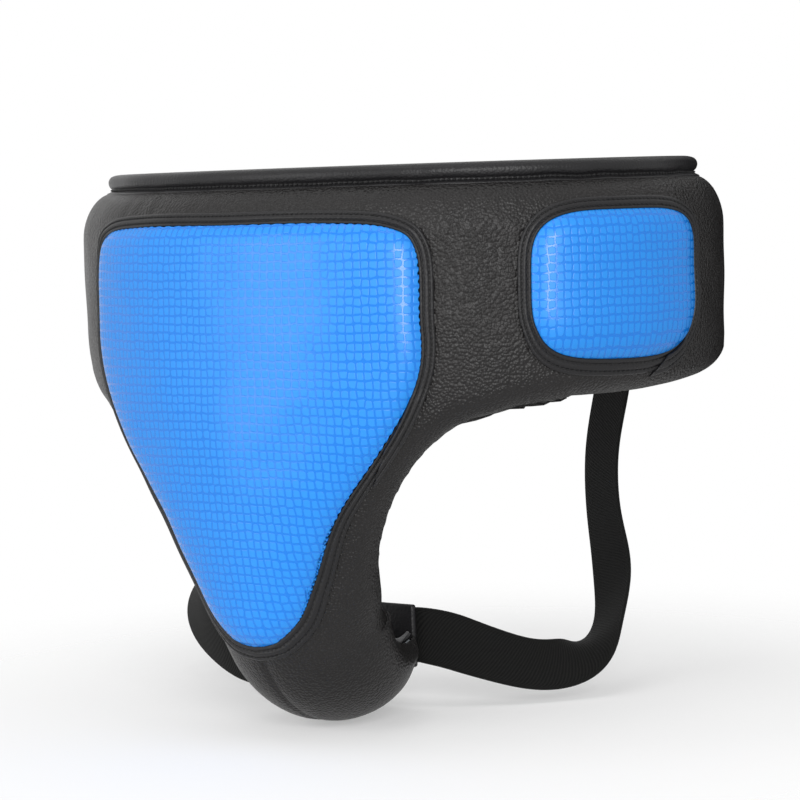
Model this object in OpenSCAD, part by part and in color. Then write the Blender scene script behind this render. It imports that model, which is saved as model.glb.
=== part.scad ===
// Groin protector: a padded belt with a front panel that runs down and under the body,
// two elastic leg straps, and a hook-and-loop closure at the back.
// +Z is up, the front faces -Y, +X is the wearer's left.
// The origin is the centre of the waist opening, level with the top edge at the front.

/* [Waist] */
// Half the inside width of the waist opening
waist_half_width = 160; // [130:1:200]
// Half the inside depth of the waist opening, front to back
waist_half_depth = 124; // [100:1:160]
// Height of the padded belt
belt_height = 112; // [96:1:135]
// Angle from the front centre to each end of the padded belt
wing_end = 163; // [158:1:166]

/* [Front panel] */
// Half the inside width of the panel where it passes between the legs
crotch_half_width = 31; // [25:1:38]
// How far the panel wraps back where it passes between the legs
crotch_wrap = 36; // [30:1:46]
// Length of the front panel, measured down its centre line from the top edge
panel_length = 335; // [325:1:340]

/* [Padding] */
// Thickness of the padded belt and panel
padding = 22; // [18:0.5:27]
// Thickness of the outer cover
cover_skin = 1.2; // [0.8:0.1:2]
// Thickness of the lining
lining_skin = 1.2; // [0.8:0.1:2]
// Radius of the rolled edge around the belt and the leg openings
roll = 16; // [12:0.5:20]
// Thickness left at the rolled edge
edge_skin = 4; // [3.5:0.1:5]
// Height of the thin rim that the top binding wraps
rim_height = 8; // [6:0.5:10]
// Thickness of that rim
rim_skin = 5; // [4:0.1:6]
// Distance over which the belt swells below the rim
rim_swell = 24; // [16:1:30]

/* [Raised pads] */
// Rise of each pad over the belt
pad_rise = 6; // [4:0.5:9]
// Width of the rounded shoulder of a pad
pad_shoulder = 9; // [6:0.5:12]
// Thickness of the pad's cover
pad_skin = 1; // [0.7:0.1:1.5]
// Width of the tape around each pad
tape_width = 6; // [4:0.5:7]
// Thickness of that tape
tape_rise = 2; // [1.2:0.1:2.5]
// Height of the middle of each hip pad below the top edge
hip_pad_drop = 58; // [52:1:62]
// Angle from the front centre to the middle of the left hip pad
hip_pad_angle = 72; // [68:0.5:76]
// Angle from the front centre to the middle of the right hip pad, which sits further back
right_pad_angle = 90; // [86:0.5:91]
// Half the width of a hip pad
hip_pad_half_width = 51; // [40:1:56]
// Half the height of a hip pad
hip_pad_half_height = 34; // [28:1:36]

/* [Cup] */
// Height of the middle of the cup below the top edge, along the panel
cup_drop = 174; // [168:1:180]
// Half the height of the cup, along the panel
cup_half_height = 60; // [50:1:64]
// Half the width of the cup at its middle
cup_half_width = 46; // [38:1:50]
// Wall of the cup
cup_wall = 3; // [2:0.25:3.5]

/* [Leg straps] */
// Width of the leg elastic
leg_width = 30; // [24:1:36]
// Thickness of the leg elastic
leg_skin = 2; // [1.5:0.1:3]
// Length of strap sewn to the inside of the belt
leg_overlap = 26; // [20:1:32]
// Height of the tab at the back end of the front panel
tab_height = 34; // [30:1:42]
// Thickness of the tab at the back end of the front panel
tab_skin = 4; // [3:0.25:6]

/* [Back closure] */
// Height of the back band
band_height = 78; // [60:1:84]
// Thickness of the back band
band_skin = 2.2; // [1.5:0.1:3]
// Thickness of the hook patch, and of the loop panel
hook_skin = 1; // [0.8:0.1:1.4]
// Angle from the front centre to where the back band leaves its anchor
band_start = 150; // [146:1:152]
// Angle from the front centre to where the back band meets its pull tab
band_end = 200; // [199:1:203]
// Angle from the front centre to the tip of the pull tab
pull_end = 236; // [230:1:242]

/* [Hidden] */

leather_black = "#2f2e30";
pad_blue = "#3aa2f0";
elastic_black = "#18181a";
foam_grey = "#8f9499";
thread_black = "#0e0e10";

// Clearance between two sewn layers, and between curved layers with unlike facets
gap = 0.3;
loose = 0.6;
// Half the angle that the front panel spans where it leaves the belt
join = 68;
// Share of the panel's width that the gusset takes, and where it starts
gusset_share = 0.33;
gusset_top = 240;
// Thickness of the soft foam under the cup
inner_layer = 5.5;
// How much thinner the padding is at the back end of the panel
end_thinning = 8;
// Corner sharpness of a hip pad, as the power of its outline
hip_power = 4;
// How much narrower the cup is at its foot than at its middle
cup_taper = 10;
// Room around the cup in the foam
cup_room = 12;
// Length and thickness of one stitch
stitch_length = 4;
stitch_skin = 0.8;

// ---- curves ----

function ease(x, a, b) =
    let (u = min(1, max(0, (x - a) / (b - a))))
    u * u * (3 - 2 * u);

function unit(v) = v / norm(v);

function mix(a, b, f) = a + (b - a) * f;

// Smooth curve through hand-set points, at position k counted in points
function through(p, k) =
    let (
        n = len(p) - 1,
        i = min(n - 1, max(0, floor(k))),
        f = k - i,
        a = p[max(0, i - 1)],
        b = p[i],
        c = p[i + 1],
        d = p[min(n, i + 2)]
    )
    b + f / 2 * (c - a + f * (2 * a - 5 * b + 4 * c - d + f * (3 * b - a - 3 * c + d)));

// ---- the body-side surface ----
// t is the angle around the waist from the front centre, positive to the wearer's left.
// h is the length down the front's centre line, d the distance outwards from the lining.

// Lean of the centre line: upright at the belt, then under the body and up behind it
function lean(h) =
    -2 * (1 - ease(h, 40, 120)) + 10 * ease(h, 110, 215) + 112 * ease(h, 205, 345);

// Tilt of each hoop around the waist
function tilt(h) = lean(h) + 1.5 * (1 - ease(h, 40, 120));

spine_step = 2.5;
spine = [
    for (
        h = 0, y = -waist_half_depth, z = 0;
        h <= panel_length + 50;
        y = y + sin(lean(h + spine_step / 2)) * spine_step,
        z = z - cos(lean(h + spine_step / 2)) * spine_step,
        h = h + spine_step
    )
    [y, z]
];

function spine_at(h) =
    let (i = min(len(spine) - 2, max(0, floor(h / spine_step))))
    mix(spine[i], spine[i + 1], h / spine_step - i);

// Only the front narrows; the belt's wings stay upright
function narrows(h, t) = h > belt_height + 1 ? 1 : 1 - ease(abs(t), join, join + 45);

function hoop_width(h, t = 0) =
    mix(waist_half_width, crotch_half_width, narrows(h, t) * ease(h, 80, 245));

function hoop_depth(h, t = 0) =
    mix(waist_half_depth, crotch_wrap, narrows(h, t) * ease(h, 80, 230));

function skin(t, h) =
    let (s = spine_at(h), m = hoop_depth(h, t) * (1 - cos(t)))
    [hoop_width(h, t) * sin(t), s[0] + m * cos(tilt(h)), s[1] + m * sin(tilt(h))];

function outward(t, h) =
    unit(cross(skin(t, h + 0.5) - skin(t, h - 0.5), skin(t + 0.1, h) - skin(t - 0.1, h)));

function at(t, h, d) = skin(t, h) + d * outward(t, h);

// ---- the edge of the belt and panel ----

// Half-angle of the panel down its length: round under the belt, then around the leg
leg_edge = [
    [belt_height, join], [belt_height + 4, 58], [belt_height + 12, 48], [belt_height + 27, 44],
    [belt_height + 46, 44.5], [belt_height + 64, 49], [belt_height + 82, 58],
    [belt_height + 104, 76], [belt_height + 126, 87], [belt_height + 148, 86],
    [belt_height + 170, 79], [belt_height + 196, 65], [panel_length, 45]
];

function panel_half(h) =
    let (
        last = len(leg_edge) - 1,
        i = max([0, for (k = [0 : last - 1]) if (leg_edge[k][0] <= h) k]),
        f = min(1, max(0, (h - leg_edge[i][0]) / (leg_edge[i + 1][0] - leg_edge[i][0])))
    )
    through([for (p = leg_edge) p[1]], i + f);

edge_points = concat(
    [for (s = [-1, 1]) for (h = [0 : 8 : belt_height]) skin(s * wing_end, h)],
    [for (s = [-1, 1]) for (t = [join : 2 : wing_end]) skin(s * t, belt_height)],
    [for (s = [-1, 1]) for (h = [belt_height : 3 : panel_length]) skin(s * panel_half(h), h)]
);

function rounded(e, r) = sqrt(1 - pow(1 - min(1, max(0, e / r)), 2));

// Whole thickness at a point: full in the middle, rolled at each edge, thin at the rim
function whole(t, h) =
    let (
        p = skin(t, h),
        e = min([for (q = edge_points) norm(q - p)]),
        full = padding - end_thinning * ease(h, 285, panel_length)
    )
    min(
        edge_skin + (full - edge_skin) * rounded(e, roll),
        rim_skin + (full - rim_skin) * rounded(h - rim_height, rim_swell)
    );

// ---- rows and columns that the layers share ----

belt_rows = [
    0, rim_height / 2, rim_height, rim_height + 1, rim_height + 5, rim_height + 11, rim_height + 24,
    belt_height * 0.45, belt_height * 0.66, belt_height - roll, belt_height - roll * 0.6,
    belt_height - roll * 0.25, belt_height - roll * 0.08, belt_height
];
panel_rows = [
    for (i = [0 : len(leg_edge) - 2])
        for (f = [0.5, 1])
            through([for (p = leg_edge) p[0]], i + f)
];
half_shares = concat(
    [for (k = [0 : 3]) gusset_share * k / 3],
    [for (k = [1 : 3]) mix(gusset_share, 0.8, k / 3)],
    [0.89, 0.95, 0.985, 1]
);
panel_shares = concat([for (k = [len(half_shares) - 1 : -1 : 1]) -half_shares[k]], half_shares);
wing_steps = [0.09, 0.18, 0.27, 0.36, 0.45, 0.54, 0.63, 0.72, 0.81, 0.9, 0.96, 0.99, 1];
wing_angles = [for (f = wing_steps) mix(join, wing_end, f)];

// A sheet of cells: tops and floors are grids of points, and keep says which cells exist.
// Open sides get a wall.
module sheet(tops, floors, keep) {
    rows = len(tops);
    cols = len(tops[0]);
    size = rows * cols;
    function id(i, j) = i * cols + j;
    function has(i, j) = i >= 0 && j >= 0 && i < rows - 1 && j < cols - 1 && keep[i][j];
    cells = [for (i = [0 : rows - 2]) for (j = [0 : cols - 2]) if (keep[i][j]) [i, j]];
    upper = [
        for (c = cells)
            let (a = id(c[0], c[1]), b = a + 1, e = a + cols, f = e + 1)
            for (face = [[a, b, f], [a, f, e]]) face
    ];
    lower = [for (face = upper) [face[0] + size, face[2] + size, face[1] + size]];
    walls = [
        for (c = cells)
            let (i = c[0], j = c[1], a = id(i, j), b = a + 1, e = a + cols, f = e + 1)
            for (side = [
                [has(i - 1, j), a, b], [has(i, j + 1), b, f],
                [has(i + 1, j), f, e], [has(i, j - 1), e, a]
            ])
                if (!side[0])
                    let (p = side[1], q = side[2])
                    for (face = [[q, p, p + size], [q, p + size, q + size]]) face
    ];
    polyhedron(
        points = concat([for (r = tops) each r], [for (r = floors) each r]),
        faces = concat(upper, lower, walls),
        convexity = 8
    );
}

// A sheet on the body-side surface: places is a grid of [t, h], top and floor give d there
module laid(places, keep, floor_at, top_at) {
    sheet(
        [for (r = places) [for (p = r) at(p[0], p[1], top_at(p[0], p[1]))]],
        [for (r = places) [for (p = r) at(p[0], p[1], floor_at(p[0], p[1]))]],
        keep
    );
}

// A solid through rings of points, with flat ends, or joined end to end
module loft(rings, loop = false) {
    n = len(rings[0]);
    m = len(rings);
    last = loop ? m - 1 : m - 2;
    sides = [
        for (i = [0 : last])
            for (j = [0 : n - 1])
                let (k = (j + 1) % n, a = i * n, b = ((i + 1) % m) * n)
                for (face = [[a + j, b + j, b + k], [a + j, b + k, a + k]]) face
    ];
    ends = loop ? [] : [[for (j = [0 : n - 1]) j], [for (j = [n - 1 : -1 : 0]) (m - 1) * n + j]];
    polyhedron(points = [for (r = rings) each r], faces = concat(sides, ends), convexity = 8);
}

// ---- belt and panel layers ----

// Rows of [t, h]: belt rows run the whole way round, panel rows only across the panel.
// inset draws the outline in from the leg edge, trim draws it in from the other edges.
function belt_grid(rows, shares, angles, inset) = [
    for (h = rows)
        let (half = h > belt_height ? panel_half(h) * inset : join)
        concat(
            [for (k = [len(angles) - 1 : -1 : 0]) [-angles[k], min(h, belt_height)]],
            [for (u = shares) [u * half, h]],
            [for (a = angles) [a, min(h, belt_height)]]
        )
];

full_rows = concat(
    belt_rows,
    [for (h = panel_rows) if (h < panel_length) h],
    [panel_length - cover_skin, panel_length]
);

cover_grid = belt_grid(full_rows, panel_shares, wing_angles, 1);

function in_gusset(p, q) =
    p[1] >= gusset_top - 1 && abs((p[0] + q[0]) / 2) < gusset_share * panel_half(p[1]) * 0.99;

cover_keep = [
    for (i = [0 : len(full_rows) - 2])
        [
            for (j = [0 : len(cover_grid[0]) - 2])
                let (
                    p = cover_grid[i][j],
                    q = cover_grid[i][j + 1],
                    wing = j < len(wing_angles) || j >= len(wing_angles) + len(panel_shares) - 1
                )
                (full_rows[i] < belt_height || !wing) && !in_gusset(p, q)
        ]
];

function at_edge(t, h) =
    h < 0.1 || h > panel_length - 0.1 || abs(t) > wing_end - 0.1
    || (abs(t) > join - 0.1 && abs(h - belt_height) < 0.1)
    || (h > belt_height && abs(t) > panel_half(h) - 0.1);

cover_top = function (t, h) whole(t, h);
cover_floor = function (t, h) at_edge(t, h) ? lining_skin + gap : whole(t, h) - cover_skin;

module outer_cover() {
    color(leather_black)
        laid(cover_grid, cover_keep, cover_floor, cover_top);
}

module crotch_gusset() {
    rows = [for (h = full_rows) if (h >= gusset_top - 1) h];
    shares = [-0.97, -0.5, 0, 0.5, 0.97] * gusset_share;
    places = [for (h = rows) [for (u = shares) [u * panel_half(h), max(h, rows[0] + gap)]]];
    keep = [for (i = [0 : len(rows) - 2]) [for (j = [0 : len(shares) - 2]) true]];
    color(leather_black)
        laid(places, keep, cover_floor, cover_top);
}

module lining() {
    rows = concat(
        [0.6, belt_height * 0.5, belt_height - roll, belt_height - 5, belt_height],
        [for (k = [0 : len(panel_rows) - 2]) if (k % 2 == 0 || panel_rows[k] > 215) panel_rows[k]],
        [panel_length - 0.6]
    );
    shares = [for (u = panel_shares) if (abs(u) != 0.985 && abs(u) != 0.89) u];
    angles = [for (f = wing_steps) if (f != 0.99) mix(join, wing_end, f)];
    places = belt_grid(rows, shares, angles, 0.995);
    color("#3b3b3f")
        laid(places, belt_keep(rows, shares, angles), function (t, h) 0, function (t, h) lining_skin);
}

// Cells of a belt grid that exist: wings only beside the belt rows
function belt_keep(rows, shares, angles) = [
    for (i = [0 : len(rows) - 2])
        [
            for (j = [0 : 2 * len(angles) + len(shares) - 2])
                rows[i] < belt_height - 0.1
                || (j >= len(angles) && j < len(angles) + len(shares) - 1)
        ]
];

// ---- foam ----

foam_floor = lining_skin + 1.6 * loose;

// Room between lining and cover at a point
function foam_room(t, h) = max(1.4, whole(t, h) - cover_skin - 2.6 * loose - foam_floor);

// Top of the soft inner layer; the firm layer starts a gap above it
function inner_top(t, h) = foam_floor + min(inner_layer, foam_room(t, h) * 0.35);

function in_cup(t, h, room) =
    let (dh = h - cup_drop, dx = hoop_width(h) * sin(t), reach = cup_half_height + room)
    abs(dh) < reach
    && abs(dx) < (cup_half_width + room - cup_taper * dh / cup_half_height)
        * sqrt(1 - pow(dh / reach, 2));

foam_rows = concat(
    [rim_height + 2, rim_height + 6, rim_height + 12, rim_height + 24],
    [belt_height * 0.6, belt_height - roll, belt_height - roll * 0.6, belt_height - 5],
    [belt_height + 0.1],
    [for (h = panel_rows) if (h > belt_height + 1 && h < panel_length - 8) h],
    [panel_length - 3]
);
foam_inset = 0.9;
// How many degrees further in the foam stays where the panel leaves the belt
corner_inset = 6;

function foam_half(h) =
    h > belt_height
        ? foam_inset * panel_half(h) - corner_inset * (1 - ease(h, belt_height, belt_height + 25))
        : join - 0.1;

foam_shares = [for (u = panel_shares) if (abs(u) != 0.985) u];

function all_cells(places) =
    [for (i = [0 : len(places) - 2]) [for (j = [0 : len(places[0]) - 2]) true]];

front_places = [
    for (h = foam_rows)
        [for (u = foam_shares) [u * foam_half(h), h]]
];

module front_foam() {
    color(foam_grey)
        laid(
            front_places,
            all_cells(front_places),
            function (t, h)
                inner_top(t, h) + gap + (in_cup(t, h, cup_room) ? cup_wall + 2.5 * loose : 0),
            function (t, h) foam_floor + foam_room(t, h)
        );
}

module inner_foam() {
    color("#b9bcc0")
        laid(
            front_places,
            all_cells(front_places),
            function (t, h) foam_floor,
            function (t, h) inner_top(t, h)
        );
}

module wing_foam(side) {
    steps = concat([0.002], [for (f = wing_steps) if (f < 0.97) f]);
    n = len(steps) - 1;
    places = [
        for (k = [0 : 7])
            [for (i = [0 : n]) [side * mix(join, wing_end, steps[side > 0 ? i : n - i]), foam_rows[k]]]
    ];
    color(foam_grey)
        laid(
            places,
            all_cells(places),
            function (t, h) foam_floor,
            function (t, h) foam_floor + foam_room(t, h)
        );
}

module left_wing_foam() {
    wing_foam(1);
}

module right_wing_foam() {
    wing_foam(-1);
}

// ---- rings on the surface ----

// A place on a hand-set outline, pushed outwards by off millimetres
function pushed(outline, k, off) =
    let (
        p = outline(k),
        a = outline(k - 0.01),
        b = outline(k + 0.01),
        scale = hoop_width(p[1]) * PI / 180,
        run = unit([(b[0] - a[0]) * scale, b[1] - a[1]])
    )
    [p[0] + off * run[1] / scale, p[1] - off * run[0]];

// Ring of points: the outline drawn in towards its middle by share, at height d
function ring(outline, middle, count, share, off, d) = [
    for (i = [0 : count - 1])
        let (p = middle + (pushed(outline, i / count, off) - middle) * share)
        at(p[0], p[1], d(p[0], p[1]))
];

// A closed pad on the surface: floor and top give d from the distance to its outline
module pad(outline, middle, count, off, shares, floor_at, top_at) {
    n = len(shares);
    function reach(i, share) =
        let (p = pushed(outline, i / count, off), v = p - middle)
        (1 - share) * norm([v[0] * hoop_width(p[1]) * PI / 180, v[1]]);
    function row(share, lift) = [
        for (i = [0 : count - 1])
            let (p = middle + (pushed(outline, i / count, off) - middle) * share)
            at(p[0], p[1], whole(p[0], p[1]) + lift(reach(i, share)))
    ];
    loft(concat(
        [for (k = [0 : n - 1]) row(shares[k], floor_at)],
        [for (k = [n - 1 : -1 : 0]) row(shares[k], top_at)]
    ));
}

pad_shares = [0.08, 0.36, 0.62, 0.8, 0.9, 0.965, 1];
foam_pad_shares = [0.08, 0.36, 0.64, 0.88, 1];

// Height of a pad's outer face over the belt, from the distance to its outline
function pad_top(e) = pad_skin + loose + 0.4 + (pad_rise - pad_skin) * rounded(e, pad_shoulder);

module pad_cover(outline, middle, count) {
    color(pad_blue)
        pad(
            outline, middle, count, 0, pad_shares,
            function (e) e < 0.1 ? loose : pad_top(e) - pad_skin,
            function (e) pad_top(e)
        );
}

module pad_foam(outline, middle, count) {
    color(foam_grey)
        pad(
            outline, middle, count, -2.5, foam_pad_shares,
            function (e) loose,
            function (e) max(loose + 0.8, pad_top(e + 2.5) - pad_skin - 1.5 * loose)
        );
}

module pad_tape(outline, count) {
    section = [
        [gap, loose], [gap, loose + tape_rise * 0.7], [gap + tape_width * 0.25, loose + tape_rise],
        [gap + tape_width * 0.75, loose + tape_rise], [gap + tape_width, loose + tape_rise * 0.6],
        [gap + tape_width, loose]
    ];
    color(leather_black)
        loft(
            [
                for (i = [0 : count - 1])
                    [
                        for (q = section)
                            let (p = pushed(outline, i / count, q[0]))
                            at(p[0], p[1], whole(p[0], p[1]) + q[1])
                    ]
            ],
            true
        );
}

// ---- front pad ----

// Right-hand half of the front pad's outline, from its top middle to its tip
front_half = [
    [0, 26.5], [18, 26.5], [30, 29.5], [34.5, 41], [35, 75], [35.2, 104], [33, 138],
    [30.5, 168], [31, 198], [27, 217], [14, 228.5], [0, 231]
];
front_middle = [0, 125];
front_count = 56;

// Position around the outline, from 0 at the top middle, once round at 1
front_outline = function (k)
    let (
        turn = k - floor(k),
        half = turn > 0.5 ? 2 * (1 - turn) : 2 * turn,
        p = through(front_half, half * (len(front_half) - 1))
    )
    [turn > 0.5 ? -p[0] : p[0], p[1]];

module front_pad_cover() {
    pad_cover(front_outline, front_middle, front_count);
}

module front_pad_foam() {
    pad_foam(front_outline, front_middle, 40);
}

module front_pad_tape() {
    pad_tape(front_outline, front_count);
}

// ---- hip pads ----

function power(v, p) = sign(v) * pow(abs(v), p);

function hip_outline(side) = function (k)
    [
        (side > 0 ? hip_pad_angle : -right_pad_angle)
            + power(sin(360 * k), 2 / hip_power) * hip_pad_half_width / hoop_width(hip_pad_drop)
            * 180 / PI,
        hip_pad_drop - power(cos(360 * k), 2 / hip_power) * hip_pad_half_height
    ];
hip_count = 32;

module left_hip_pad_cover() {
    pad_cover(hip_outline(1), [hip_pad_angle, hip_pad_drop], hip_count);
}

module left_hip_pad_foam() {
    pad_foam(hip_outline(1), [hip_pad_angle, hip_pad_drop], 24);
}

module left_hip_pad_tape() {
    pad_tape(hip_outline(1), hip_count);
}

module right_hip_pad_cover() {
    pad_cover(hip_outline(-1), [-right_pad_angle, hip_pad_drop], hip_count);
}

module right_hip_pad_foam() {
    pad_foam(hip_outline(-1), [-right_pad_angle, hip_pad_drop], 24);
}

module right_hip_pad_tape() {
    pad_tape(hip_outline(-1), hip_count);
}

// ---- cup ----

cup_outline = function (k)
    let (
        dh = -cup_half_height * cos(360 * k),
        dx = (cup_half_width - cup_taper * dh / cup_half_height) * sin(360 * k)
    )
    [asin(dx / hoop_width(cup_drop + dh)), cup_drop + dh];

module groin_cup() {
    count = 32;
    shares = [0.1, 0.32, 0.54, 0.76, 0.9, 1];
    middle = [0, cup_drop];
    function lift(d) = function (t, h) inner_top(t, h) + loose + d;
    color("#d9d6cc")
        loft(concat(
            [for (s = shares) ring(cup_outline, middle, count, s, 0, lift(0))],
            [
                for (k = [len(shares) - 1 : -1 : 0])
                    ring(cup_outline, middle, count, shares[k], 0, lift(cup_wall))
            ]
        ));
}

// ---- top binding ----

module top_binding() {
    tape = 1.6;
    inner = -loose;
    outer = rim_skin + gap;
    section = [
        [rim_height - 0.5, inner], [-gap, inner], [-gap, outer], [rim_height - 0.5, outer],
        [rim_height - 0.5, outer + tape * 0.6], [rim_height - 2, outer + tape],
        [0, outer + tape], [-gap - tape, outer - 0.5], [-gap - tape, inner + 0.5],
        [0, inner - tape], [rim_height - 0.5, inner - tape]
    ];
    color(leather_black)
        loft([
            for (t = [-wing_end + 0.5 : (2 * wing_end - 1) / 52 : wing_end - 0.4])
                [for (p = section) at(t, p[0], p[1])]
        ]);
}

// ---- leg straps ----

lip = at(0, panel_length, padding - end_thinning);
tab_half_width = 15;
tab_back = lip[1] + gap + tab_skin;
tab_foot = lip[2] - 1;

module crotch_tab() {
    color(leather_black)
        translate([-tab_half_width, tab_back - tab_skin, tab_foot])
            cube([2 * tab_half_width, tab_skin, tab_height]);
}

strap_angle = 155;
strap_run = tab_back + gap + leg_skin / 2;
strap_end = tab_foot + tab_height / 2;

// The flat strap stands off the curved lining by this much at its middle
strap_sag = leg_width * leg_width / 6 / waist_half_depth;

function strap_root(side, h) = at(side * strap_angle, h, -gap - strap_sag - leg_skin / 2);

function strap_way(side) = unit(skin(side * strap_angle + side, 50) - skin(side * strap_angle - side, 50));

// Route of each leg strap: down inside the belt, free behind the thigh, up to the tab.
// Each point is followed by the direction of the strap's width.
left_route = concat(
    [for (h = [belt_height - leg_overlap, belt_height]) [strap_root(1, h), strap_way(1)]],
    [
        [[65, 106, -128], strap_way(1)],
        [[59, 103, -162], [-0.93, 0.36, 0]],
        [[62, 98, -195], [-0.93, 0.36, 0.05]],
        [[72, 90, -225], [-0.92, 0.3, 0.2]],
        [[78, 77, -250], [-0.8, 0.6, 0.1]],
        [[79, 60, -264], [-0.6, 0.75, 0.3]],
        [[74, 42, -270], [-0.4, 0.5, 0.75]],
        [[62, 25, -270], [-0.35, 0.45, 0.85]],
        [[44, 8, -262], [-0.25, 0.35, 0.9]],
        [[29, -6, -254], [-0.1, 0.15, 1]]
    ],
    [
        [[tab_half_width + 3, strap_run + 0.7, strap_end], [0, 0, 1]],
        [[tab_half_width - 3, strap_run, strap_end], [0, 0, 1]],
        [[1, strap_run, strap_end], [0, 0, 1]]
    ]
);
right_route = concat(
    [for (h = [belt_height - leg_overlap, belt_height]) [strap_root(-1, h), strap_way(-1)]],
    [
        [[-70, 107, -126], strap_way(-1)],
        [[-94, 97, -160], [0.93, 0.36, 0.1]],
        [[-126, 78, -190], [0.9, 0.3, 0.3]],
        [[-157, 44, -216], [0.8, 0.1, 0.5]],
        [[-163, 12, -235], [0.7, -0.2, 0.65]],
        [[-146, -10, -252], [0.5, -0.3, 0.8]],
        [[-118, -22, -264], [0.2, -0.2, 0.95]],
        [[-90, -26, -270], [0, 0, 1]],
        [[-58, -24, -266], [0, 0, 1]],
        [[-34, -18, -256], [0, 0, 1]]
    ],
    [
        [[-tab_half_width - 3, strap_run - 0.3, strap_end], [0, 0, 1]],
        [[-tab_half_width + 3, strap_run, strap_end], [0, 0, 1]],
        [[-1, strap_run, strap_end], [0, 0, 1]]
    ]
);

// A flat strap along a route, with three rings to each pair of points in it
module strap(route) {
    n = len(route) - 1;
    places = [for (r = route) r[0]];
    ways = [for (r = route) r[1]];
    rings = [
        for (i = [0 : 3 * n])
            let (
                k = i / 3,
                p = through(places, k),
                ahead = through(places, min(n, k + 0.05)),
                behind = through(places, max(0, k - 0.05)),
                run = unit(ahead - behind),
                way = through(ways, k),
                across = unit(way - run * (way * run)) * leg_width / 2,
                lift = cross(run, unit(across)) * leg_skin / 2
            )
            [p - across - lift, p + across - lift, p + across + lift, p - across + lift]
    ];
    color(elastic_black)
        loft(rings);
}

module left_leg_strap() {
    strap(left_route);
}

module right_leg_strap() {
    strap(right_route);
}

// A patch over the sewn end of a leg strap, on the inside of the belt
module strap_patch(side) {
    half = 11;
    places = [
        for (h = [belt_height - leg_overlap - 5, belt_height - leg_overlap / 2, belt_height - 6])
            [for (t = [-half, 0, half] * 0.6) [side * strap_angle + t, h]]
    ];
    top = -leg_skin - strap_sag - 2 * gap;
    color(leather_black)
        laid(
            places,
            all_cells(places),
            function (t, h) top - 1.4 - gap,
            function (t, h) top - gap
        );
}

module left_strap_patch() {
    strap_patch(1);
}

module right_strap_patch() {
    strap_patch(-1);
}

// Rows of stitches that hold both straps to the tab
module strap_bartacks() {
    color(thread_black)
        for (side = [-1, 1])
            for (x = [4, 11])
                for (k = [-2 : 2])
                    translate([
                        side * x - stitch_skin / 2,
                        strap_run + leg_skin / 2 + gap / 2,
                        strap_end + k * 5.5 - stitch_length / 2
                    ])
                        cube([stitch_skin, stitch_skin, stitch_length]);
}

// ---- back closure ----

band_top = hip_pad_drop - band_height / 2;
band_foot = hip_pad_drop + band_height / 2;
band_floor = padding + gap;
loop_floor = padding + gap;
hook_floor = loop_floor + hook_skin + gap;
pull_floor = hook_floor + hook_skin + gap;
pull_skin = 2;

// A flat piece of the closure between two angles, with its height over the lining
module strip(from, to, steps, low, high, floor_at, depth) {
    places = [
        for (h = [low, mix(low, high, 0.33), mix(low, high, 0.67), high])
            [for (i = [0 : steps]) [mix(from, to, i / steps), h]]
    ];
    laid(
        places,
        all_cells(places),
        floor_at,
        function (t, h) floor_at(t, h) + depth
    );
}

module band_anchor() {
    color(leather_black)
        strip(
            band_start - 20, band_start - 0.6, 4, band_top - 4, band_foot + 4,
            function (t, h) band_floor,
            band_skin
        );
}

// Upright rows of stitches on a flat piece whose outer face is at height d
module upright_stitches(angles, low, high, d) {
    pitch = 7;
    for (t = angles)
        for (h = [low : pitch : high])
            translate(at(t, h, d + stitch_skin / 2 + gap))
                rotate([0, 0, t])
                    cube([stitch_skin, stitch_skin, stitch_length], center = true);
}

module band_anchor_stitches() {
    color(thread_black)
        upright_stitches(
            [band_start - 3, band_start - 5.5], band_top + 4, band_foot - 4, band_floor + band_skin
        );
}

module back_band() {
    color(elastic_black)
        strip(
            band_start, band_end, 12, band_top, band_foot,
            function (t, h) mix(band_floor, pull_floor, ease(t, band_end - 16, band_end - 3)),
            band_skin
        );
}

module pull_tab() {
    color(leather_black)
        strip(
            band_end + 0.4, pull_end, 8, band_top + 5, band_foot - 5,
            function (t, h) pull_floor,
            pull_skin
        );
}

module pull_tab_stitches() {
    color(thread_black)
        upright_stitches(
            [band_end + 3, pull_end - 2], band_top + 9, band_foot - 9, pull_floor + pull_skin
        );
}

module hook_patch() {
    color("#202022")
        strip(
            band_end + 4, pull_end - 3, 8, band_top + 8, band_foot - 8,
            function (t, h) hook_floor,
            hook_skin
        );
}

module loop_panel() {
    color("#26262a")
        strip(
            band_end + 1, pull_end + 10, 9, band_top + 2, band_foot - 2,
            function (t, h) loop_floor,
            hook_skin
        );
}

outer_cover();
crotch_gusset();
lining();
front_foam();
inner_foam();
left_wing_foam();
right_wing_foam();
groin_cup();
top_binding();
front_pad_cover();
front_pad_foam();
front_pad_tape();
left_hip_pad_cover();
left_hip_pad_foam();
left_hip_pad_tape();
right_hip_pad_cover();
right_hip_pad_foam();
right_hip_pad_tape();
crotch_tab();
left_leg_strap();
right_leg_strap();
left_strap_patch();
right_strap_patch();
strap_bartacks();
band_anchor();
band_anchor_stitches();
back_band();
pull_tab();
pull_tab_stitches();
hook_patch();
loop_panel();
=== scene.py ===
import math
import random

import bmesh
import bpy
import numpy as np
from mathutils import Matrix, Vector, kdtree, noise


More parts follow.
